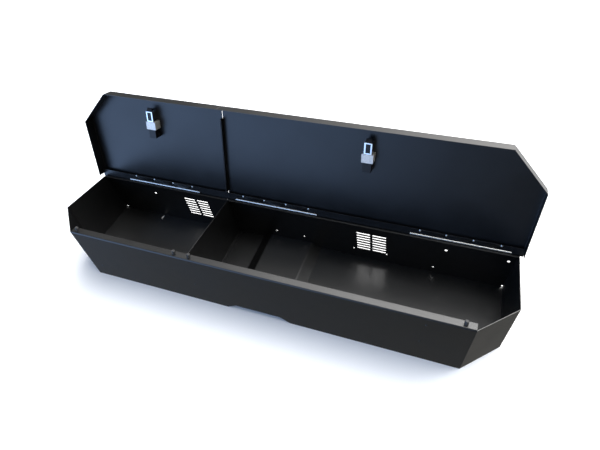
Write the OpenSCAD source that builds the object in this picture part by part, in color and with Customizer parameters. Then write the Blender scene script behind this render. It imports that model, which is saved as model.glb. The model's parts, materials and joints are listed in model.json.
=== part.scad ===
// Low lock box for the floor of a truck cab, with two lids shown open.
// Millimetres. +X right, +Y back, +Z up. The origin is the bottom centre of the whole object's
// bounding box with the lids open, level with the floor's underside.

/* [Body] */
// Length over the angled corners, at the rim
body_length = 1450; // [1300:10:1700]
// Depth of the floor, front to back
floor_depth = 311; // [290:1:360]
// Height of the front wall
front_height = 214; // [190:1:240]
// Slope of the rim, down towards the back
rim_angle = 7; // [4:0.5:9]
// Lean of the end walls, outwards to the rim
side_lean = 3.55; // [1:0.05:5]
// Lean of the back wall, forwards to the rim
back_draft = 14; // [4:1:20]
// Length of the angled front corners along X
corner_x = 98; // [70:1:130]
// Depth of the angled front corners along Y
corner_y = 100; // [70:1:130]
// How much narrower each side is at the back
rear_taper = 10; // [0:1:20]
// Sheet thickness of the body
wall = 2; // [1.5:0.5:3]
// Width of the front rim flange
front_flange = 24; // [18:1:30]
// Width of the rear rim flange
rear_flange = 8; // [6:1:10]

/* [Floor hump] */
// Width of the hump where it leaves the floor
hump_base = 214; // [160:2:240]
// Width of the hump's flat top
hump_top = 150; // [100:2:156]
// Height of the hump, outside
hump_height = 20; // [14:1:26]

/* [Divider] */
// Place of the divider along X
divider_x = -208; // [-230:1:-205]
// Width of the divider's folded feet
divider_foot = 12; // [8:1:20]

/* [Vents] */
// Left ends of the two vent blocks
vent_x = [-395, 238];
// Height of the lowest slot above the floor's underside
vent_z = 50; // [40:1:60]
// Slots in one column
vent_rows = 7; // [5:1:8]
// Distance from slot to slot
vent_pitch = 13.4; // [12:0.1:14]
// Size of one slot
vent_slot = [43.5, 6.6];
// Gap between the two columns of a block
vent_gap = 8; // [6:1:12]

/* [Lids] */
// Sheet thickness of the lids
lid_wall = 1.5; // [1.2:0.1:2]
// Height of the lid's top face over the rim, shut
lid_rise = 16; // [12:1:20]
// How far the lid edges stand outside the body
lid_overlap = 10; // [8:0.5:12]
// Depth of the folded edges, from the top face
lid_edge = 37.5; // [30:0.5:42]
// Middle of the gap between the lids
split_x = -214; // [-216:1:-212]
// Width of the gap between the lids
split_gap = 1.5; // [1.5:0.5:4]
// Depth of the folded edges at the gap
split_edge = 16; // [12:1:16]
// Angle from shut to open
open_angle = 100.5; // [90:0.5:105]

/* [Hinges] */
// Left ends of the three hinges
hinge_x = [-606, -180, 404];
// Length of each hinge
hinge_length = 287; // [240:1:300]
// Knuckles in each hinge
knuckle_count = 15; // [9:2:21]
// Radius of the knuckles
knuckle_r = 3; // [2.5:0.1:3.2]
// Radius of the pin
pin_r = 1.25; // [1:0.05:1.5]

/* [Latches] */
// Place of the two latches along X
latch_x = [-468, 258];
// Distance from the front of the rim to the lock
lock_v = 79; // [70:1:90]
// Travel of the push button and the bolt
latch_travel = 8; // [6:0.5:8]

/* [Hidden] */
$fn = 48;
eps = 0.01;
rear_rim_y = floor_depth - back_draft;
rear_rim_z = rim_z(rear_rim_y);
rear_rim_v = rear_rim_y / cos(rim_angle);
back_lean = atan(back_draft / rear_rim_z);
side_slope = tan(side_lean);
hinge_v = rear_rim_v + 3.6;
hinge_w = 1.5;
lid_under = lid_rise - lid_wall;
channel_w = hinge_w + 0.6;
lip_front_v = hinge_v - 19;
lid_back_v = hinge_v + 5.5;
rivet_r = 1.6;
stud_head = [3.4, 1.2];
// Where an open lid's front edge stands, measured back from the front wall
lid_reach = hinge_v * cos(rim_angle) + hinge_w * sin(rim_angle)
    - (hinge_v + lid_overlap) * cos(rim_angle + open_angle)
    + (lid_rise - hinge_w) * sin(rim_angle + open_angle);
origin_y = (lid_reach - stud_head[1]) / 2;
bumper_r = 5.5;
bumper_x = [-607, -246, -195, 600];
stud_x = [[-578, 52], [-612, 129], [497, 94], [507, 182]];
large_hole_r = 4.5;
large_holes = [[-516, 130], [516, 134], [692, 141]];
small_hole_r = 3;
small_holes = [[-51, 52], [51, 52], [227, 45], [336, 45], [486, 30]];
relief_r = 4.5;
relief_z = 7;
floor_slot = [-529, 299];

// ---------- Where the walls are ----------

// Height of the rim above the base at a depth from the front wall
function rim_z(y) = front_height - y * tan(rim_angle);

// Outer corner between the angled part and the end wall, at a height
function shoulder_x(z) = body_length / 2 - side_slope * (rim_z(corner_y) - z);

// Outer corner between the front wall and the angled part
function front_x(z) = shoulder_x(z) - corner_x;

// Outer face of the end wall
function side_x(y, z) = shoulder_x(z) - rear_taper * (y - corner_y) / (floor_depth - corner_y);

// Outer face of the back wall
function back_y(z) = floor_depth - back_draft * z / rear_rim_z;

// ---------- Outline helpers ----------

function unit(v) = v / norm(v);

function left_normal(a, b) = unit([a[1] - b[1], b[0] - a[0]]);

// A corner of an outline moved inwards by a distance
function moved_corner(a, b, c, d) =
    let (m = left_normal(a, b), n = left_normal(b, c))
    b + d * (m + n) / (1 + m * n);

// A whole counter-clockwise outline moved inwards
function inset(p, d) = [for (i = [0:len(p) - 1])
    moved_corner(p[(i + len(p) - 1) % len(p)], p[i], p[(i + 1) % len(p)], d)];

// Six points round a corner
function bend(a, b, c, r) =
    let (u = unit(a - b), w = unit(c - b), half = acos(u * w) / 2)
    let (o = b + unit(u + w) * r / sin(half), s = b + u * r / tan(half) - o)
    let (e = b + w * r / tan(half) - o)
    [for (i = [0:5]) o + r * unit(s * (1 - i / 5) + e * i / 5)];

// ---------- Places ----------

module on_base() {
    translate([0, -origin_y, 0]) children();
}

// X, V along the rim towards the back, W square to the rim
module on_rim() {
    on_base() translate([0, 0, front_height]) rotate([-rim_angle, 0, 0]) children();
}

// The back wall's outer face: X, Y out of it, Z up it
module on_back() {
    on_base() translate([0, floor_depth, 0]) rotate([back_lean, 0, 0]) children();
}

// A lid's place when shut, swung open about the hinge
module on_lid() {
    on_rim() translate([0, hinge_v, hinge_w]) rotate([-open_angle, 0, 0])
        translate([0, -hinge_v, -hinge_w]) children();
}

// A latch: X, V from the front of the rim, and depth below the lid's underside as -Z
module on_latch(x) {
    on_lid() translate([x, 0, lid_under]) children();
}

// A profile drawn as [Y, Z], running along X
module along_x(x0, x1) {
    translate([x0, 0, 0]) rotate([90, 0, 90]) linear_extrude(x1 - x0) children();
}

// A profile drawn as [X, Z], running along Y
module along_y(y0, y1) {
    translate([0, y1, 0]) rotate([90, 0, 0]) linear_extrude(y1 - y0) children();
}

// ---------- Body ----------

// Right half of the folded floor's section, raised by a distance from its underside
function hump_side(extra) =
    let (slant = extra * tan(atan2(hump_height, (hump_base - hump_top) / 2) / 2))
    [[hump_base / 2 + slant, extra], [hump_top / 2 + slant, hump_height + extra]];

function mirrored(p) = [for (i = [len(p) - 1:-1:0]) [-p[i][0], p[i][1]]];

module hump_notch(y0, y1) {
    low = [[hump_base / 2, -2]];
    along_y(y0, y1) polygon(concat(low, hump_side(0), mirrored(concat(low, hump_side(0)))));
}

module front_panel() {
    v = [cos(rim_angle), -sin(rim_angle)];
    n = [v[1], -v[0]];
    top = [0, front_height];
    tip = top + v * front_flange;
    low = tip + n * wall;
    inner = [wall, low[1] + (wall - low[0]) * v[1] / v[0]];
    gap = wall * tan(22.5) + 0.02;
    color("dimgray") on_base() difference() {
        intersection() {
            along_x(-body_length / 2, body_length / 2)
                polygon(concat([[0, 0]], bend([0, 0], top, tip, 2 * wall), [tip, low],
                    bend(low, inner, [wall, 0], wall), [[wall, 0]]));
            along_y(-1, front_flange + 1)
                polygon([[-front_x(0) + gap, -1], [front_x(0) - gap, -1],
                    [front_x(front_height + 1) - gap, front_height + 1],
                    [-front_x(front_height + 1) + gap, front_height + 1]]);
        }
        hump_notch(-1, wall + 1);
        for (p = stud_x) translate([p[0], -1, p[1]]) rotate([-90, 0, 0]) cylinder(r = 2.1, h = wall + 2);
        translate([divider_x + divider_foot / 2, -1, 87]) rotate([-90, 0, 0])
            cylinder(r = 2.1, h = wall + 2);
        for (x = bumper_x) translate([x, 0, front_height]) rotate([-rim_angle, 0, 0])
            translate([0, 13, -wall - 1]) cylinder(r = 2.5, h = wall + 2);
    }
}

module floor_pan() {
    outline = [[-front_x(0), 0], [front_x(0), 0], [shoulder_x(0), corner_y],
        [side_x(floor_depth, 0), floor_depth], [-side_x(floor_depth, 0), floor_depth],
        [-shoulder_x(0), corner_y]];
    half = body_length / 2;
    upper = concat([[half, wall]], hump_side(wall));
    lower = concat([[half, 0]], hump_side(0));
    under = concat(lower, mirrored(lower));
    section = concat(upper, mirrored(upper), [for (i = [5:-1:0]) under[i]]);
    color("dimgray") on_base() difference() {
        intersection() {
            translate([0, 0, -1]) linear_extrude(hump_height + wall + 2) polygon(inset(outline, wall + 0.1));
            along_y(0, floor_depth) polygon(section);
        }
        // Drain slot at the back of the left compartment
        for (step = [0, 10]) translate([floor_slot[0], floor_slot[1] - step, -1])
            cylinder(r = 3.5, h = wall + 2);
        translate([floor_slot[0] - 3.5, floor_slot[1] - 10, -1]) cube([7, 10, wall + 2]);
        translate([-body_length / 2, floor_depth, 0]) rotate([back_lean, 0, 0])
            translate([0, -wall - 0.1, -20]) cube([body_length, 50, 100]);
    }
}

module vent_block(x) {
    for (column = [0, 1], row = [0:vent_rows - 1])
        translate([x + column * (vent_slot[0] + vent_gap), -wall - 1, vent_z + row * vent_pitch])
            cube([vent_slot[0], wall + 2, vent_slot[1]]);
}

module back_panel() {
    height = rear_rim_z / cos(back_lean);
    f = [-cos(rim_angle - back_lean), sin(rim_angle - back_lean)];
    n = [-f[1], f[0]];
    top = [0, height];
    tip = top + f * rear_flange;
    low = tip + n * wall;
    inner = [-wall, low[1] - (wall + low[0]) * f[1] / f[0]];
    half_base = side_x(floor_depth, 0) - wall - 0.15;
    half_top = side_x(rear_rim_y, rear_rim_z) - wall - 0.15;
    color("dimgray") on_back() difference() {
        intersection() {
            along_x(-body_length / 2, body_length / 2)
                polygon(concat([[0, 0.2]], bend([0, 0], top, tip, 2 * wall), [tip, low],
                    bend(low, inner, [-wall, 0], wall), [[-wall, 0.2]]));
            along_y(-rear_flange - 2, 1)
                polygon([[-half_base, 0], [half_base, 0], [half_top, height], [half_top, height + 5],
                    [-half_top, height + 5], [-half_top, height]]);
        }
        hump_notch(-wall - 1, 1);
        // Corner reliefs, beside the end walls
        for (side = [-1, 1]) translate([side * half_base, -wall - 1, relief_z]) rotate([-90, 0, 0])
            cylinder(r = relief_r, h = wall + 2);
        for (x = vent_x) vent_block(x);
        for (p = large_holes) translate([p[0], -wall - 1, p[1]]) rotate([-90, 0, 0])
            cylinder(r = large_hole_r, h = wall + 2);
        for (p = small_holes) translate([p[0], -wall - 1, p[1]]) rotate([-90, 0, 0])
            cylinder(r = small_hole_r, h = wall + 2);
    }
}

// One bent sheet: the angled front corner and the end wall
module end_panel() {
    back_z = rear_rim_z;
    function outer(z0, z1, z2) = [[front_x(z0), 0], [shoulder_x(z1), corner_y],
        [side_x(back_y(z2), z2), back_y(z2)]];
    function corner(i, z) =
        let (o = outer(z, z, z), front = [0, 0], far = o[2] + (o[2] - o[1]))
        i == 0 ? moved_corner(front, o[0], o[1], wall)
        : i == 1 ? moved_corner(o[0], o[1], o[2], wall)
        : [o[2][0] - wall * norm(o[2] - o[1]) / (o[2][1] - o[1][1]), o[2][1]];
    top = [front_height, rim_z(corner_y), back_z];
    low = outer(0, 0, 0);
    high = outer(top[0], top[1], top[2]);
    in_low = [for (i = [0:2]) corner(i, 0)];
    in_high = [for (i = [0:2]) corner(i, top[i])];
    points = concat([for (p = low) [p[0], p[1], 0]],
        [for (i = [0:2]) [high[i][0], high[i][1], top[i]]],
        [for (p = in_low) [p[0], p[1], 0]],
        [for (i = [0:2]) [in_high[i][0], in_high[i][1], rim_z(in_high[i][1])]]);
    color("dimgray") on_base() polyhedron(points, [
        [0, 3, 4, 1], [1, 4, 5, 2], [6, 7, 10, 9], [7, 8, 11, 10],
        [3, 9, 10, 4], [4, 10, 11, 5], [0, 1, 7, 6], [1, 2, 8, 7],
        [0, 6, 9, 3], [2, 5, 11, 8]]);
}

module left_end_panel() {
    mirror([1, 0, 0]) end_panel();
}

module right_end_panel() {
    end_panel();
}

module divider() {
    foot_top = 160;
    x = divider_x - wall / 2;
    top_gap = wall + 0.3;
    color("dimgray") on_base() difference() {
        union() {
            along_x(x, x + wall)
                polygon([[wall + 0.1, wall + 0.1], [floor_depth - wall - 0.3, wall + 0.1],
                    [back_y(rear_rim_z - 4) - wall - 0.2, rear_rim_z - 4],
                    [rear_rim_y - rear_flange - 2, rim_z(rear_rim_y - rear_flange - 2) - top_gap],
                    [wall + 0.1, rim_z(wall) - top_gap]]);
            translate([x, wall + 0.1, wall + 0.1]) cube([divider_foot + wall, wall, foot_top]);
            translate([x, wall + 0.1, wall + 0.1])
                cube([divider_foot + wall, floor_depth - 3 * wall - 0.5, wall]);
        }
        translate([divider_x + divider_foot / 2, 0, 87]) rotate([-90, 0, 0]) cylinder(r = 2.1, h = 10);
    }
}

// Button head, shank and closed end, with the head at the origin facing +Z
module rivet(head_r, head_h, shank_r, grip) {
    dome_r = (head_r * head_r + head_h * head_h) / (2 * head_h);
    intersection() {
        translate([0, 0, head_h - dome_r]) sphere(r = dome_r);
        cylinder(r = head_r, h = head_h + 1);
    }
    translate([0, 0, -grip]) cylinder(r = shank_r, h = grip + eps);
    translate([0, 0, -grip - 2]) cylinder(r = shank_r * 1.35, h = 2);
}

module divider_rivet() {
    color("dimgray") on_base() translate([divider_x + divider_foot / 2, 0, 87]) rotate([90, 0, 0])
        rivet(stud_head[0], stud_head[1], 2, 2 * wall + 0.1);
}

module front_panel_rivets() {
    color("dimgray") on_base() for (p = stud_x) translate([p[0], 0, p[1]]) rotate([90, 0, 0])
        rivet(stud_head[0], stud_head[1], 2, wall);
}

module rim_bumpers() {
    height = lid_under - 0.3;
    color("black") on_rim() for (x = bumper_x) translate([x, 13, 0]) {
        cylinder(r = bumper_r, h = height - 2);
        translate([0, 0, height - 2]) cylinder(r1 = bumper_r, r2 = bumper_r - 1.5, h = 2);
        translate([0, 0, -wall - 0.5]) cylinder(r = 2.45, h = wall + 1);
        translate([0, 0, -wall - 3]) cylinder(r1 = 2, r2 = 3.6, h = 3);
    }
}

// ---------- Hinges ----------

pitch = hinge_length / knuckle_count;

// Every second knuckle of a hinge, from the first or from the second
module knuckles(x, first, side) {
    for (i = [first:2:knuckle_count - 1])
        translate([x + i * pitch + 0.15, 0, 0]) rotate([90, 0, 90]) difference() {
            union() {
                cylinder(r = knuckle_r, h = pitch - 0.3);
                linear_extrude(pitch - 0.3) children();
            }
            translate([0, 0, -1]) cylinder(r = pin_r + 0.05, h = pitch + 2);
        }
}

module body_leaf(x) {
    on_rim() translate([0, hinge_v, hinge_w]) knuckles(x, 0)
        rotate(rim_angle) polygon([[-3.1, -6], [-1.6, -6], [-1.6, 0], [-2.6, 0]]);
    on_back() along_x(x + 0.15, x + hinge_length - 0.15)
        translate([0.02, rear_rim_z / cos(back_lean) - 19]) square([1.3, 15]);
}

module lid_leaf(x) {
    color("dimgray") on_lid() difference() {
        union() {
            translate([0, hinge_v, hinge_w]) knuckles(x, 1)
                polygon([[-5, -0.6], [0, -0.6], [0, 0.6], [-5, 0.6]]);
            translate([x + 0.15, lip_front_v + 1, hinge_w - 0.6])
                cube([hinge_length - 0.3, 14.5, 1.2]);
        }
        hinge_rivet_places(x) translate([0, 0, -5]) cylinder(r = rivet_r + 0.05, h = 10);
    }
}

module hinge_pin(x) {
    color("silver") on_rim() translate([x + 0.2, hinge_v, hinge_w]) rotate([90, 0, 90])
        cylinder(r = pin_r, h = hinge_length - 0.4);
}

module hinge_rivet_places(x) {
    for (i = [0:3]) translate([x + 28.5 + i * 76.7, hinge_v - 15.5, hinge_w]) children();
}

module hinge_rivets(x) {
    color("silver") on_lid() hinge_rivet_places(x) translate([0, 0, -0.6]) rotate([180, 0, 0])
        rivet(3, 1.1, rivet_r, 1.2 + lid_wall);
}

module left_hinge_body_leaf() { color("silver") body_leaf(hinge_x[0]); }
module middle_hinge_body_leaf() { color("silver") body_leaf(hinge_x[1]); }
module right_hinge_body_leaf() { color("silver") body_leaf(hinge_x[2]); }
module left_hinge_lid_leaf() { lid_leaf(hinge_x[0]); }
module middle_hinge_lid_leaf() { lid_leaf(hinge_x[1]); }
module right_hinge_lid_leaf() { lid_leaf(hinge_x[2]); }
module left_hinge_pin() { hinge_pin(hinge_x[0]); }
module middle_hinge_pin() { hinge_pin(hinge_x[1]); }
module right_hinge_pin() { hinge_pin(hinge_x[2]); }
module left_hinge_rivets() { hinge_rivets(hinge_x[0]); }
module middle_hinge_rivets() { hinge_rivets(hinge_x[1]); }
module right_hinge_rivets() { hinge_rivets(hinge_x[2]); }

// ---------- Lids ----------

// The body's outline in the plane of the rim, carried on past the hinges
rim_front = [front_x(front_height), 0];
rim_shoulder = [body_length / 2, corner_y / cos(rim_angle)];
rim_back = [side_x(rear_rim_y, rear_rim_z), rear_rim_v];
rim_past = rim_back + (rim_back - rim_shoulder) / 5;
rim_outline = [[-rim_front[0], 0], rim_front, rim_shoulder, rim_past,
    [-rim_past[0], rim_past[1]], [-rim_shoulder[0], rim_shoulder[1]]];

module lid(x0, x1, inner_edge_x, hinges) {
    outline = inset(rim_outline, -lid_overlap);
    width = x1 - x0;
    difference() {
        intersection() {
            translate([0, 0, lid_rise - lid_edge]) linear_extrude(lid_edge) polygon(outline);
            translate([x0, -100, -100]) cube([width, lid_back_v + 100, 200]);
        }
        intersection() {
            translate([0, 0, -100]) linear_extrude(100 + lid_under) polygon(inset(outline, lid_wall));
            translate([x0 - 1, -100, -101]) cube([width + 2, lid_back_v + 200, 200]);
        }
        translate([x0 - 1, rear_rim_v, -100]) cube([width + 2, 100, 100 + channel_w]);
    }
    // Folded edge at the gap between the lids
    translate([inner_edge_x, front_flange + 4, lid_under - split_edge])
        cube([lid_wall, lip_front_v - front_flange - 7, split_edge + eps]);
    // Folded channel behind the hinges, with its lip cut out round the knuckles
    intersection() {
        linear_extrude(lid_rise) polygon(inset(outline, lid_wall / 2));
        translate([x0, 0, 0]) {
            translate([0, lid_back_v - lid_wall, channel_w])
                cube([width, lid_wall, lid_under - channel_w + eps]);
            difference() {
                translate([0, lip_front_v, channel_w]) cube([width, lid_back_v - lip_front_v, lid_wall]);
                for (x = hinges) translate([x - x0 - 1, hinge_v - 4, 0])
                    cube([hinge_length + 2, 8, 10]);
            }
        }
    }
}

module lid_with_holes(x0, x1, inner_edge_x, lock_x, hinges) {
    color("dimgray") on_lid() difference() {
        lid(x0, x1, inner_edge_x, hinges);
        for (x = hinges) hinge_rivet_places(x) translate([0, 0, -1]) cylinder(r = rivet_r + 0.05, h = 6);
        translate([lock_x, lock_v, 0]) cylinder(r = 11.3, h = 50);
        case_screw_places() translate([lock_x, 0, 0]) cylinder(r = 2.2, h = 50);
    }
}

module left_lid() {
    edge = split_x - split_gap / 2;
    lid_with_holes(-body_length, edge, edge - lid_wall, latch_x[0], [hinge_x[0]]);
}

module right_lid() {
    edge = split_x + split_gap / 2;
    lid_with_holes(edge, body_length, edge, latch_x[1], [hinge_x[1], hinge_x[2]]);
}

// ---------- Latches ----------

case_w = 34;
case_v = [66, 92];
case_depth = 28;
guide_w = 24;
guide_v = [31, 65.9];
housing_w = 26;
housing_v = [92.1, 122];
housing_depth = 26;
bolt_w = 18;
bolt_top = -17.5;
bolt_thick = 8.5;
bolt_tip_v = 21;

module case_screw_places() {
    for (x = [-14.2, 14.2]) translate([x, 88.6, 0]) children();
}

module latch_case(x) {
    color("silver") on_latch(x) difference() {
        translate([-case_w / 2, case_v[0], -case_depth])
            cube([case_w, case_v[1] - case_v[0], case_depth - 0.02]);
        translate([0, lock_v, bolt_top]) cylinder(r = 9.4, h = 30);
        translate([-bolt_w / 2 - 0.3, case_v[0] - 1, bolt_top - bolt_thick - 0.3])
            cube([bolt_w + 0.6, case_v[1] - case_v[0] - 1, bolt_thick + 0.6]);
        case_screw_places() translate([0, 0, -12]) cylinder(r = 1.7, h = 30);
    }
}

module bolt_guide(x) {
    length = guide_v[1] - guide_v[0];
    color("lightgray") on_latch(x) difference() {
        translate([-guide_w / 2, guide_v[0], -case_depth + 0.4]) cube([guide_w, length, case_depth - 0.6]);
        translate([-bolt_w / 2 - 0.3, guide_v[0] - 1, bolt_top - bolt_thick - 0.3])
            cube([bolt_w + 0.6, length + 2, bolt_thick + 0.6]);
        translate([-guide_w / 2 + 3, guide_v[0] - 1, -12]) cube([guide_w - 6, length - 4, 20]);
        translate([-guide_w / 2 + 5, guide_v[0] + 3.5, -case_depth - 1])
            cube([guide_w - 10, length - 8, 5]);
    }
}

// Hollow cover below the case, open towards the lid
module spring_housing(x) {
    length = housing_v[1] - housing_v[0];
    color("dimgray") on_latch(x) difference() {
        translate([-housing_w / 2, housing_v[0], -housing_depth])
            cube([housing_w, length, housing_depth - 0.02]);
        translate([-housing_w / 2 + 2, housing_v[0] + 2, -housing_depth + 2])
            cube([housing_w - 4, length - 4, housing_depth]);
    }
}

// Slides in the guide. The window takes the button's wedge
module latch_bolt(x) {
    low = bolt_top - bolt_thick;
    color("dimgray") on_latch(x) difference() {
        along_x(-bolt_w / 2, bolt_w / 2)
            polygon([[bolt_tip_v, bolt_top], [lock_v + 1, bolt_top], [lock_v + 1, low],
                [bolt_tip_v + 9, low], [bolt_tip_v, bolt_top - 2]]);
        translate([-4.5, lock_v - 13.5, low - 1]) cube([9, 10.5, bolt_thick + 2]);
        translate([-3.2, lock_v - 1.5, bolt_top - bolt_thick / 2 - 3.2]) cube([6.4, 5, 6.4]);
    }
}

// Compression spring between the bolt and the end of the case
module bolt_spring(x) {
    turns = 4;
    r = 2.4;
    wire_r = 0.45;
    from = lock_v - 1.4;
    length = case_v[1] - 2.2 - from;
    color("silver") on_latch(x) translate([0, from, bolt_top - bolt_thick / 2]) rotate([-90, 0, 0])
        for (i = [0:turns - 1]) translate([0, 0, (i + 0.5) * length / turns])
            rotate_extrude() translate([r, 0]) circle(r = wire_r, $fn = 16);
}

module lock_bezel(x) {
    color("silver") on_latch(x) translate([0, lock_v, 0]) difference() {
        union() {
            translate([0, 0, lid_wall + 0.02]) cylinder(r1 = 13.2, r2 = 12, h = 2.5);
            translate([0, 0, 0.02]) cylinder(r = 11.1, h = lid_wall + 0.5);
        }
        translate([0, 0, -1]) cylinder(r = 9.05, h = 10);
    }
}

module push_button(x) {
    color("silver") on_latch(x) {
        translate([0, lock_v, 0]) difference() {
            union() {
                translate([0, 0, -5]) cylinder(r = 9, h = 16.5);
                translate([0, 0, 11.5]) cylinder(r1 = 9, r2 = 8.2, h = 0.8);
            }
            translate([0, 0, -2]) cylinder(r = 5.05, h = 20);
        }
        along_x(-4, 4) polygon([[lock_v - 4, -17], [lock_v - 3, -17], [lock_v + 5, -9],
            [lock_v + 5, -4.9], [lock_v - 4, -4.9]]);
    }
}

module key_plug(x) {
    color("silver") on_latch(x) translate([0, lock_v, 0]) difference() {
        translate([0, 0, -1.9]) cylinder(r = 5, h = 14.3);
        translate([-0.6, -3.2, 6]) cube([1.2, 6.4, 10]);
    }
}

module case_screws(x) {
    color("silver") on_latch(x) case_screw_places() {
        translate([0, 0, lid_wall]) difference() {
            cylinder(r1 = 3.6, r2 = 2.6, h = 1.8);
            translate([0, 0, 0.8]) cylinder(r = 1.3, h = 3, $fn = 6);
        }
        translate([0, 0, -11]) cylinder(r = 1.65, h = 11 + lid_wall + eps);
    }
}

module left_latch_case() { latch_case(latch_x[0]); }
module left_spring_housing() { spring_housing(latch_x[0]); }
module left_bolt_guide() { bolt_guide(latch_x[0]); }
module left_latch_bolt() { latch_bolt(latch_x[0]); }
module left_bolt_spring() { bolt_spring(latch_x[0]); }
module left_lock_bezel() { lock_bezel(latch_x[0]); }
module left_push_button() { push_button(latch_x[0]); }
module left_key_plug() { key_plug(latch_x[0]); }
module left_case_screws() { case_screws(latch_x[0]); }
module right_latch_case() { latch_case(latch_x[1]); }
module right_spring_housing() { spring_housing(latch_x[1]); }
module right_bolt_guide() { bolt_guide(latch_x[1]); }
module right_latch_bolt() { latch_bolt(latch_x[1]); }
module right_bolt_spring() { bolt_spring(latch_x[1]); }
module right_lock_bezel() { lock_bezel(latch_x[1]); }
module right_push_button() { push_button(latch_x[1]); }
module right_key_plug() { key_plug(latch_x[1]); }
module right_case_screws() { case_screws(latch_x[1]); }

front_panel();
floor_pan();
back_panel();
left_end_panel();
right_end_panel();
divider();
divider_rivet();
front_panel_rivets();
rim_bumpers();
left_hinge_body_leaf();
left_hinge_lid_leaf();
left_hinge_pin();
left_hinge_rivets();
middle_hinge_body_leaf();
middle_hinge_lid_leaf();
middle_hinge_pin();
middle_hinge_rivets();
right_hinge_body_leaf();
right_hinge_lid_leaf();
right_hinge_pin();
right_hinge_rivets();
left_lid();
right_lid();
left_latch_case();
left_spring_housing();
left_bolt_guide();
left_latch_bolt();
left_bolt_spring();
left_lock_bezel();
left_push_button();
left_key_plug();
left_case_screws();
right_latch_case();
right_spring_housing();
right_bolt_guide();
right_latch_bolt();
right_bolt_spring();
right_lock_bezel();
right_push_button();
right_key_plug();
right_case_screws();
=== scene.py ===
import json
import math

import bmesh
import bpy
from mathutils import Matrix, Vector


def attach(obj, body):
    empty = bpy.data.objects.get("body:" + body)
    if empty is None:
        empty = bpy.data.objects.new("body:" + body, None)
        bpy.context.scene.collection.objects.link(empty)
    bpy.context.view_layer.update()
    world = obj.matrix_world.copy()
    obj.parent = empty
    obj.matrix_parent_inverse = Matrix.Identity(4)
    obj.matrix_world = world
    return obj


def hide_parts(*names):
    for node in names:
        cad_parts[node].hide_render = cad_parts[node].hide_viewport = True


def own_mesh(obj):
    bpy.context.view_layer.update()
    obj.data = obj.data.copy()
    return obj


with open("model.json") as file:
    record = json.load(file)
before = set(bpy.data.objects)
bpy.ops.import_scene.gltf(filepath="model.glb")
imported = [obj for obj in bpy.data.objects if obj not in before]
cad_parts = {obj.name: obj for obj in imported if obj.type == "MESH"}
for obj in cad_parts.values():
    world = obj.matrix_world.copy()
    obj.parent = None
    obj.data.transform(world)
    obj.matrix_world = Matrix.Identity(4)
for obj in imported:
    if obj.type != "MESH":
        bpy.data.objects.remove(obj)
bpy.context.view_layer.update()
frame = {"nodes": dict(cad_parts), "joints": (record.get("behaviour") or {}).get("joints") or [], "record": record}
nodes = frame["nodes"]
joints = {j["name"]: j for j in frame["joints"]}
scene = bpy.context.scene
scene.view_settings.view_transform = "Standard"

# ---------- Camera ----------

CAMERA_PLACE = Vector((0.5275, -0.8830, 1.3163))
CAMERA_YAW = math.radians(26.302)
CAMERA_PITCH = math.radians(47.773)
CAMERA_ROLL = math.radians(-8.626)
CAMERA_LENS = 29.28


def make_camera():
    forward = Vector((-math.sin(CAMERA_YAW) * math.cos(CAMERA_PITCH),
                      math.cos(CAMERA_YAW) * math.cos(CAMERA_PITCH), -math.sin(CAMERA_PITCH)))
    level = Vector((math.cos(CAMERA_YAW), math.sin(CAMERA_YAW), 0))
    above = level.cross(forward)
    right = math.cos(CAMERA_ROLL) * level + math.sin(CAMERA_ROLL) * above
    up = -math.sin(CAMERA_ROLL) * level + math.cos(CAMERA_ROLL) * above
    data = bpy.data.cameras.new("camera")
    data.lens = CAMERA_LENS
    data.sensor_width = 36
    data.clip_end = 60
    camera = bpy.data.objects.new("camera", data)
    camera.matrix_world = Matrix((right, up, -forward)).transposed().to_4x4()
    camera.location = CAMERA_PLACE
    scene.collection.objects.link(camera)
    scene.camera = camera


# ---------- Materials ----------

def new_material(name):
    material = bpy.data.materials.new(name)
    material.use_nodes = True
    tree = material.node_tree
    tree.nodes.clear()
    output = tree.nodes.new("ShaderNodeOutputMaterial")
    shader = tree.nodes.new("ShaderNodeBsdfPrincipled")
    tree.links.new(shader.outputs["BSDF"], output.inputs["Surface"])
    return material, tree, shader


def noise(tree, place, scale, detail=3.0, roughness=0.5, stretch=None):
    node = tree.nodes.new("ShaderNodeTexNoise")
    node.inputs["Scale"].default_value = scale
    node.inputs["Detail"].default_value = detail
    node.inputs["Roughness"].default_value = roughness
    source = place
    if stretch:
        mapping = tree.nodes.new("ShaderNodeMapping")
        mapping.inputs["Scale"].default_value = stretch
        tree.links.new(place, mapping.inputs["Vector"])
        source = mapping.outputs["Vector"]
    tree.links.new(source, node.inputs["Vector"])
    return node.outputs["Fac"]


def ramp(tree, source, dark, light):
    """From one colour to the other over the middle of a noise."""
    node = tree.nodes.new("ShaderNodeValToRGB")
    for element, position, color in zip(node.color_ramp.elements, (0.3, 0.7), (dark, light)):
        element.position = position
        element.color = (*color, 1)
    tree.links.new(source, node.inputs["Fac"])
    return node.outputs["Color"]


def remap(tree, source, low, high, to_low, to_high, smooth=False):
    node = tree.nodes.new("ShaderNodeMapRange")
    node.interpolation_type = "SMOOTHSTEP" if smooth else "LINEAR"
    for key, value in zip(("From Min", "From Max", "To Min", "To Max"), (low, high, to_low, to_high)):
        node.inputs[key].default_value = value
    tree.links.new(source, node.inputs["Value"])
    return node.outputs["Result"]


def multiply(tree, first, second):
    node = tree.nodes.new("ShaderNodeMath")
    node.operation = "MULTIPLY"
    tree.links.new(first, node.inputs[0])
    tree.links.new(second, node.inputs[1])
    return node.outputs["Value"]


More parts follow.
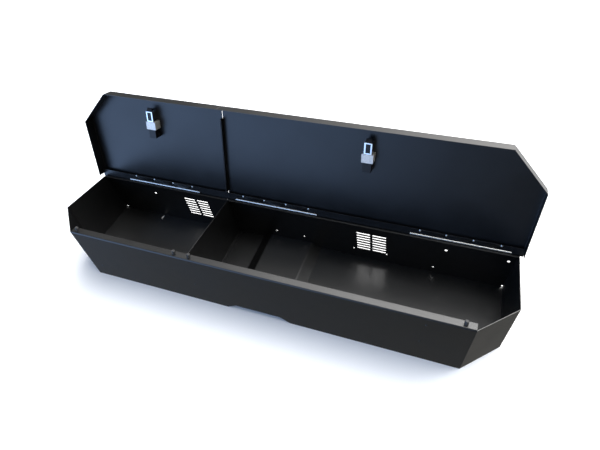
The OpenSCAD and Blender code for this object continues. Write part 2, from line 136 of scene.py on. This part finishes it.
def blend(tree, factor, first, second, mode="MIX"):
    node = tree.nodes.new("ShaderNodeMix")
    node.data_type = "RGBA"
    node.blend_type = mode
    node.clamp_result = False
    if hasattr(factor, "links"):
        tree.links.new(factor, node.inputs["Factor"])
    else:
        node.inputs["Factor"].default_value = factor
    for key, value in (("A", first), ("B", second)):
        socket = [s for s in node.inputs if s.name == key and s.type == "RGBA"][0]
        if hasattr(value, "links"):
            tree.links.new(value, socket)
        else:
            socket.default_value = (*value, 1)
    return [s for s in node.outputs if s.type == "RGBA"][0]


def bump(tree, shader, layers):
    """Bumps on top of each other, each with its height socket, strength and distance in metres."""
    last = None
    for height, strength, distance in layers:
        node = tree.nodes.new("ShaderNodeBump")
        node.inputs["Strength"].default_value = strength
        node.inputs["Distance"].default_value = distance
        tree.links.new(height, node.inputs["Height"])
        if last:
            tree.links.new(last, node.inputs["Normal"])
        last = node.outputs["Normal"]
    tree.links.new(last, shader.inputs["Normal"])


def edge_mask(tree, radius):
    """White where the surface turns a corner within a radius."""
    bevel = tree.nodes.new("ShaderNodeBevel")
    bevel.samples = 4
    bevel.inputs["Radius"].default_value = radius
    geometry = tree.nodes.new("ShaderNodeNewGeometry")
    dot = tree.nodes.new("ShaderNodeVectorMath")
    dot.operation = "DOT_PRODUCT"
    tree.links.new(bevel.outputs["Normal"], dot.inputs[0])
    tree.links.new(geometry.outputs["Normal"], dot.inputs[1])
    return remap(tree, dot.outputs["Value"], 0.98, 0.80, 0.0, 1.0)


# Specks of dust on the coating, and the lighter edges: partly metal where the paint has rubbed thin, partly a
# painted highlight along the edges
DUST = (0.06, 0.06, 0.063)
WORN_EDGE_AND_HIGHLIGHT = (0.20, 0.20, 0.20)


def powder_coat(name, dark, light, roughness, grain, wear_and_highlight=0.25, coat=0.0, gloss=0.5):
    """Semi-gloss powder coat: orange peel, faint cloudiness, fine dust, and lighter edges that are partly rubbed
    thin and partly a painted highlight.
    """
    material, tree, shader = new_material(name)
    place = tree.nodes.new("ShaderNodeTexCoord").outputs["Object"]
    cloud = noise(tree, place, 9, 4, 0.6)
    fine = noise(tree, place, 900, 2, 0.6)
    peel = noise(tree, place, 420, 2, 0.5)
    dust = noise(tree, place, 2600, 1, 0.5)
    # How strongly the edges are lightened: partly worn paint, partly a painted highlight along the edges
    rubbed_and_lit = remap(tree, noise(tree, place, 60, 4, 0.7), 0.40, 0.65, wear_and_highlight * 0.3, wear_and_highlight)
    base = ramp(tree, cloud, dark, light)
    base = blend(tree, remap(tree, dust, 0.72, 0.82, 0.0, 0.25), base, DUST)
    # Edges blended towards a light grey: partly worn paint, partly a painted highlight
    base = blend(tree, multiply(tree, edge_mask(tree, 0.0012), rubbed_and_lit), base, WORN_EDGE_AND_HIGHLIGHT)
    tree.links.new(base, shader.inputs["Base Color"])
    tree.links.new(remap(tree, cloud, 0.25, 0.75, roughness - 0.04, roughness + 0.05),
                   shader.inputs["Roughness"])
    shader.inputs["IOR"].default_value = 1.5
    shader.inputs["Specular IOR Level"].default_value = gloss
    shader.inputs["Coat Weight"].default_value = coat
    shader.inputs["Coat Roughness"].default_value = 0.20
    bump(tree, shader, [(peel, grain * 4, 0.0002), (fine, grain * 2, 0.0001)])
    return material


def zinc_plate(name, dark, light, roughness, metallic=1.0):
    """Bright plated steel with faint brushing and cloudy spangle."""
    material, tree, shader = new_material(name)
    place = tree.nodes.new("ShaderNodeTexCoord").outputs["Object"]
    cloud = noise(tree, place, 220, 3, 0.6)
    brushed = noise(tree, place, 1400, 2, 0.5, (0.15, 1, 1))
    polished = tuple(min(1.0, c * 1.15) for c in light)
    base = blend(tree, edge_mask(tree, 0.0004), ramp(tree, cloud, dark, light), polished)
    tree.links.new(base, shader.inputs["Base Color"])
    shader.inputs["Metallic"].default_value = metallic
    tree.links.new(remap(tree, brushed, 0.3, 0.7, roughness - 0.06, roughness + 0.08),
                   shader.inputs["Roughness"])
    bump(tree, shader, [(brushed, 0.08, 0.0001)])
    return material


def chrome_plate(name):
    """Mirror plating with faint smears."""
    material, tree, shader = new_material(name)
    place = tree.nodes.new("ShaderNodeTexCoord").outputs["Object"]
    smear = noise(tree, place, 160, 3, 0.6)
    base = ramp(tree, smear, (0.72, 0.72, 0.73), (0.84, 0.84, 0.84))
    tree.links.new(base, shader.inputs["Base Color"])
    shader.inputs["Metallic"].default_value = 1.0
    tree.links.new(remap(tree, smear, 0.3, 0.7, 0.07, 0.16), shader.inputs["Roughness"])
    bump(tree, shader, [(noise(tree, place, 900, 2), 0.03, 0.0001)])
    return material


def moulded_rubber(name):
    """Matt black rubber, paler along its edges."""
    material, tree, shader = new_material(name)
    place = tree.nodes.new("ShaderNodeTexCoord").outputs["Object"]
    grain = noise(tree, place, 1800, 3, 0.6)
    base = ramp(tree, noise(tree, place, 120, 3), (0.016, 0.016, 0.017), (0.035, 0.035, 0.036))
    base = blend(tree, edge_mask(tree, 0.0006), base, (0.07, 0.07, 0.07))
    tree.links.new(base, shader.inputs["Base Color"])
    tree.links.new(remap(tree, grain, 0.3, 0.7, 0.48, 0.68), shader.inputs["Roughness"])
    bump(tree, shader, [(grain, 0.25, 0.0001)])
    return material


body_paint = powder_coat("body_paint", (0.0010, 0.0010, 0.0012), (0.0022, 0.0022, 0.0024), 0.44, 0.012,
                         wear_and_highlight=0.15, coat=0.4)
lid_paint = powder_coat("lid_paint", (0.0025, 0.0028, 0.0035), (0.0045, 0.005, 0.006), 0.34, 0.012)
latch_black = powder_coat("latch_black", (0.003, 0.003, 0.004), (0.007, 0.007, 0.008), 0.40, 0.02,
                          gloss=0.35)
zinc = zinc_plate("zinc", (0.62, 0.62, 0.60), (0.80, 0.80, 0.78), 0.28)
case_zinc = zinc_plate("case_zinc", (0.50, 0.48, 0.45), (0.66, 0.64, 0.61), 0.42, metallic=0.55)
chrome = chrome_plate("chrome")
rubber = moulded_rubber("rubber")
FINISH = {"box_paint": body_paint, "lid_paint": lid_paint, "zinc": zinc, "zinc_case": case_zinc,
          "chrome": chrome, "latch_black": latch_black, "rubber": rubber, "spring_steel": zinc}

# ---------- Pieces ----------

# Points closer together than this are one point, and faces that turn less than this are one face
WELD = 2e-6
FLAT = math.radians(0.5)
# How near a plane, a side or the barrel a point is to count as on it, in the tests of the latch and hinge
ON_PLANE = 0.0001
ON_SIDE = 0.0002
# Turns that are a fold in the sheet, and ones that are a cut edge or a corner
FOLD_ANGLE = math.radians(20)
CUT_ANGLE = math.radians(50)
# The least length of a fold, and the least width of the sheet on each side of it
FOLD_LENGTH = 0.03
FOLD_SIDE = 0.005
# Bend radii of the walls and of the floor, the inside radius as a share of them, and the eased cut edge
WALL_BEND = 0.0014
FLOOR_BEND = 0.0040
INSIDE_SHARE = 0.4
CUT_EDGE = 0.0003
# A face narrower than this is part of a bend or an eased edge: on sheets, and on the latch
SHEET_NARROW = 0.0016
LATCH_NARROW = 0.0008
# Rounding of the latch pieces' edges, and the least length of a bolt guide's long edge
GUIDE_ROUND = 0.0032
GUIDE_EDGE = 0.01
CASE_EDGE = 0.0008
HOUSING_EDGE = 0.0012
BOLT_EDGE = 0.0006

HINGE_AXIS = Vector(joints["left_lid_hinge"]["pos_m"])
LID_DOWN = Vector(joints["left_bolt_slide"]["axis"]).normalized()
BARREL_RADIUS = 0.003
BARREL_SHARP = math.radians(35)
# A lid's folds aren't bent within this distance of the hinge axis
HINGE_CLEARANCE = 0.014
# What lies further past the hinge axis than this, along the open lid, is moved on by the second length
CHANNEL_FROM = 0.0035
CHANNEL_EXTRA = 0.0013

# The latch's spring: radius of the wire, turns, steps in a turn, and sides of the wire
WIRE = 0.00045
TURNS = 4.5
STEPS = 20
SIDES = 8


def set_material(piece, material):
    piece.data.materials.clear()
    piece.data.materials.append(material)


def body_of(node):
    bodies = frame["record"]["behaviour"]["bodies"]
    return [b for b, members in bodies.items() if node in members][0]


def slot_of(node):
    return [s["material_slot"] for s in frame["record"]["subparts"] if s["node"] == node][0]


def mesh_from(shape, name):
    mesh = bpy.data.meshes.new(name)
    shape.to_mesh(mesh)
    shape.free()
    return mesh


def stand_in(node, mesh, slot):
    """A piece with the mesh's name that rides on the node's body and replaces the node."""
    piece = bpy.data.objects.new(mesh.name, mesh)
    scene.collection.objects.link(piece)
    set_material(piece, FINISH[slot])
    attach(piece, body_of(node))
    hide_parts(node)
    return piece


def cad_shape(node):
    shape = bmesh.new()
    shape.from_mesh(nodes[node].data)
    bmesh.ops.remove_doubles(shape, verts=shape.verts, dist=WELD)
    return shape


def merge_flat(shape):
    bmesh.ops.dissolve_limit(shape, angle_limit=FLAT, verts=shape.verts, edges=shape.edges)


def cut_edges(shape):
    return [e for e in shape.edges if len(e.link_faces) == 2 and e.is_convex
            and e.calc_face_angle() > CUT_ANGLE]


def round_over(shape, edges, radius, segments):
    bmesh.ops.bevel(shape, geom=edges, offset=radius, offset_type="OFFSET", segments=segments,
                    profile=0.5, affect="EDGES", clamp_overlap=True)


def calm_normals(mesh, narrow):
    """Wide faces keep their own normal, the narrow ones between them blend from one to the next."""
    shape = bmesh.new()
    shape.from_mesh(mesh)
    wide = {f.index for f in shape.faces if 2 * f.calc_area() > narrow * f.calc_perimeter()}
    normals = []
    for face in shape.faces:
        for corner in face.loops:
            if face.index in wide:
                normals.append(face.normal.copy())
                continue
            near = [f for f in corner.vert.link_faces if f.normal.dot(face.normal) > 0.6]
            chosen = [f for f in near if f.index in wide] or near
            total = sum((f.normal * max(f.calc_area(), 1e-12) for f in chosen), Vector())
            normals.append(total.normalized() if total.length > 0 else face.normal.copy())
    shape.free()
    for polygon in mesh.polygons:
        polygon.use_smooth = True
    mesh.normals_split_custom_set([tuple(n) for n in normals])


def by_hinge(edge):
    """Whether an edge is close to the lids' hinge axis."""
    away = (edge.verts[0].co + edge.verts[1].co) / 2 - HINGE_AXIS
    return math.hypot(away.y, away.z) < HINGE_CLEARANCE


def deepen_channel(shape):
    """The channel behind the hinges reaches a little lower, so that nothing shows over the rim."""
    for vert in shape.verts:
        if (vert.co - HINGE_AXIS).dot(LID_DOWN) > CHANNEL_FROM:
            vert.co += LID_DOWN * CHANNEL_EXTRA


def folds_of(shape, convex, lid):
    width = {f: 2 * f.calc_area() / f.calc_perimeter() for f in shape.faces}
    return [e for e in shape.edges if len(e.link_faces) == 2 and e.is_convex == convex
            and e.calc_length() > FOLD_LENGTH and min(width[f] for f in e.link_faces) > FOLD_SIDE
            and e.calc_face_angle() > FOLD_ANGLE and not (lid and by_hinge(e))]


def softened(node, bend):
    """The node's shape with its folds bent to a radius and its cut edges eased."""
    lid = "lid" in node
    shape = cad_shape(node)
    merge_flat(shape)
    if lid:
        deepen_channel(shape)
    for convex, radius in ((True, bend), (False, bend * INSIDE_SHARE)):
        folds = folds_of(shape, convex, lid)
        if folds:
            round_over(shape, folds, radius, 4)
    round_over(shape, cut_edges(shape), CUT_EDGE, 2)
    mesh = mesh_from(shape, node + "_sheet")
    calm_normals(mesh, SHEET_NARROW)
    stand_in(node, mesh, slot_of(node))


def shaped(node, suffix, edge, picked=None, radius=0):
    """The node's shape with the picked edges rounded far over and the rest eased."""
    shape = cad_shape(node)
    merge_flat(shape)
    far = [e for e in cut_edges(shape) if picked and picked(e)]
    if far:
        round_over(shape, far, radius, 6)
    round_over(shape, cut_edges(shape), edge, 2)
    mesh = mesh_from(shape, node + suffix)
    calm_normals(mesh, LATCH_NARROW)
    stand_in(node, mesh, slot_of(node))


def front_side_test(side):
    """Picks the two long edges of a bolt guide's front face."""
    outward = Vector(joints[side + "_button_press"]["axis"])
    guide = [v.co.copy() for v in nodes[side + "_bolt_guide"].data.vertices]
    front = max(p.dot(outward) for p in guide)
    left, right = min(p.x for p in guide), max(p.x for p in guide)

    def on_front_side(edge):
        points = [v.co for v in edge.verts]
        return (all(p.dot(outward) > front - ON_PLANE for p in points)
                and all(min(p.x - left, right - p.x) < ON_SIDE for p in points)
                and edge.calc_length() > GUIDE_EDGE)

    return on_front_side


def part_of(node, suffix, slot, near_axis):
    """The faces of a hinge leaf that are on its barrel, or the ones that aren't, as a piece."""
    shape = cad_shape(node)
    lost = []
    for face in shape.faces:
        away = face.calc_center_median() - HINGE_AXIS
        if (math.hypot(away.y, away.z) < BARREL_RADIUS + ON_PLANE) != near_axis:
            lost.append(face)
    bmesh.ops.delete(shape, geom=lost, context="FACES")
    mesh = mesh_from(shape, node + suffix)
    for polygon in mesh.polygons:
        polygon.use_smooth = near_axis
    mesh.set_sharp_from_angle(angle=BARREL_SHARP)
    stand_in(node, mesh, slot)


def middle(values):
    return (min(values) + max(values)) / 2


def wound_spring(side):
    """A real helix where the CAD has rings."""
    node = side + "_bolt_spring"
    down = Vector(joints[side + "_bolt_slide"]["axis"]).normalized()
    across = Vector((1, 0, 0))
    third = down.cross(across)
    points = [v.co.copy() for v in nodes[node].data.vertices]
    low, high = min(p.dot(down) for p in points), max(p.dot(down) for p in points)
    outer = (max(p.x for p in points) - min(p.x for p in points)) / 2
    base = Vector((middle([p.x for p in points]), 0, 0)) + third * middle([p.dot(third) for p in points])
    shape = bmesh.new()
    rings = []
    count = int(TURNS * STEPS)
    for i in range(count + 1):
        turn = 2 * math.pi * i / STEPS
        out = math.cos(turn) * across + math.sin(turn) * third
        along = low + WIRE + (high - low - 2 * WIRE) * i / count
        centre = base + out * (outer - WIRE) + down * along
        rings.append([shape.verts.new(centre + WIRE * (math.cos(a) * out + math.sin(a) * down))
                      for a in (2 * math.pi * k / SIDES for k in range(SIDES))])
    for first, second in zip(rings, rings[1:]):
        for k in range(SIDES):
            shape.faces.new((first[k], first[(k + 1) % SIDES], second[(k + 1) % SIDES], second[k]))
    shape.faces.new(reversed(rings[0]))
    shape.faces.new(rings[-1])
    bmesh.ops.recalc_face_normals(shape, faces=shape.faces)
    mesh = mesh_from(shape, node + "_wound")
    for polygon in mesh.polygons:
        polygon.use_smooth = len(polygon.vertices) == 4
    piece = stand_in(node, mesh, slot_of(node))
    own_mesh(piece)


def make_sheets():
    for node in ("front_panel", "back_panel", "left_end_panel", "right_end_panel", "divider",
                 "left_lid", "right_lid"):
        softened(node, WALL_BEND)
    softened("floor_pan", FLOOR_BEND)


def make_latch(side):
    shaped(side + "_bolt_guide", "_cast", CUT_EDGE, front_side_test(side), GUIDE_ROUND)
    shaped(side + "_latch_case", "_cast", CASE_EDGE)
    shaped(side + "_spring_housing", "_moulded", HOUSING_EDGE)
    shaped(side + "_latch_bolt", "_ground", BOLT_EDGE)
    wound_spring(side)


def make_hinge_leaves(place):
    """The leaves are painted with the sheet they sit on, and their barrels are bright."""
    for leaf, paint in (("_hinge_lid_leaf", "lid_paint"), ("_hinge_body_leaf", "box_paint")):
        part_of(place + leaf, "_plate", paint, False)
        part_of(place + leaf, "_barrel", "zinc", True)


def make_pieces():
    for name, node in nodes.items():
        set_material(node, FINISH[slot_of(name)])
    make_sheets()
    for side in ("left", "right"):
        make_latch(side)
    for place in ("left", "middle", "right"):
        make_hinge_leaves(place)


# ---------- Studio ----------

# Half the floor's length, and how far it lies under the box
FLOOR_REACH = 12
FLOOR_DROP = 0.0005


def make_floor():
    shape = bmesh.new()
    bmesh.ops.create_grid(shape, x_segments=8, y_segments=8, size=FLOOR_REACH)
    floor = bpy.data.objects.new("studio_floor", mesh_from(shape, "studio_floor"))
    floor.location = (0, 0, -FLOOR_DROP)
    scene.collection.objects.link(floor)
    material, _, shader = new_material("studio_floor")
    shader.inputs["Base Color"].default_value = (0.95, 0.95, 0.95, 1)
    shader.inputs["Roughness"].default_value = 0.9
    shader.inputs["Specular IOR Level"].default_value = 0.0
    floor.data.materials.append(material)
    floor.visible_glossy = False


# Soft sources round the object: direction, where the glow starts and where it is full, colour
GLOWS = [
    ((0.34, 0.46, 0.82), 0.60, 0.95, (4.6, 4.65, 4.7)),
    ((0.25, 0.80, 0.55), 0.70, 0.95, (3.9, 3.8, 3.7)),
    ((0.60, 0.77, -0.12), 0.75, 0.96, (1.35, 1.35, 1.35)),
    ((-0.66, -0.73, 0.15), 0.70, 0.92, (1.0, 1.6, 2.8)),
    ((-0.85, -0.30, -0.45), 0.20, 0.95, (0.06, 0.07, 0.085)),
    ((0.60, 0.10, -0.80), 0.50, 1.00, (0.13, 0.125, 0.115)),
]
AMBIENT = (0.145, 0.145, 0.14)


def make_world():
    world = bpy.data.worlds.new("studio")
    world.use_nodes = True
    tree = world.node_tree
    direction = tree.nodes.new("ShaderNodeTexCoord").outputs["Generated"]
    total = AMBIENT
    for aim, start, full, color in GLOWS:
        dot = tree.nodes.new("ShaderNodeVectorMath")
        dot.operation = "DOT_PRODUCT"
        tree.links.new(direction, dot.inputs[0])
        dot.inputs[1].default_value = Vector(aim).normalized()
        amount = remap(tree, dot.outputs["Value"], start, full, 0.0, 1.0, smooth=True)
        total = blend(tree, amount, total, color, "ADD")
    tree.links.new(total, tree.nodes["Background"].inputs["Color"])
    scene.world = world


make_pieces()
make_camera()
make_world()
make_floor()
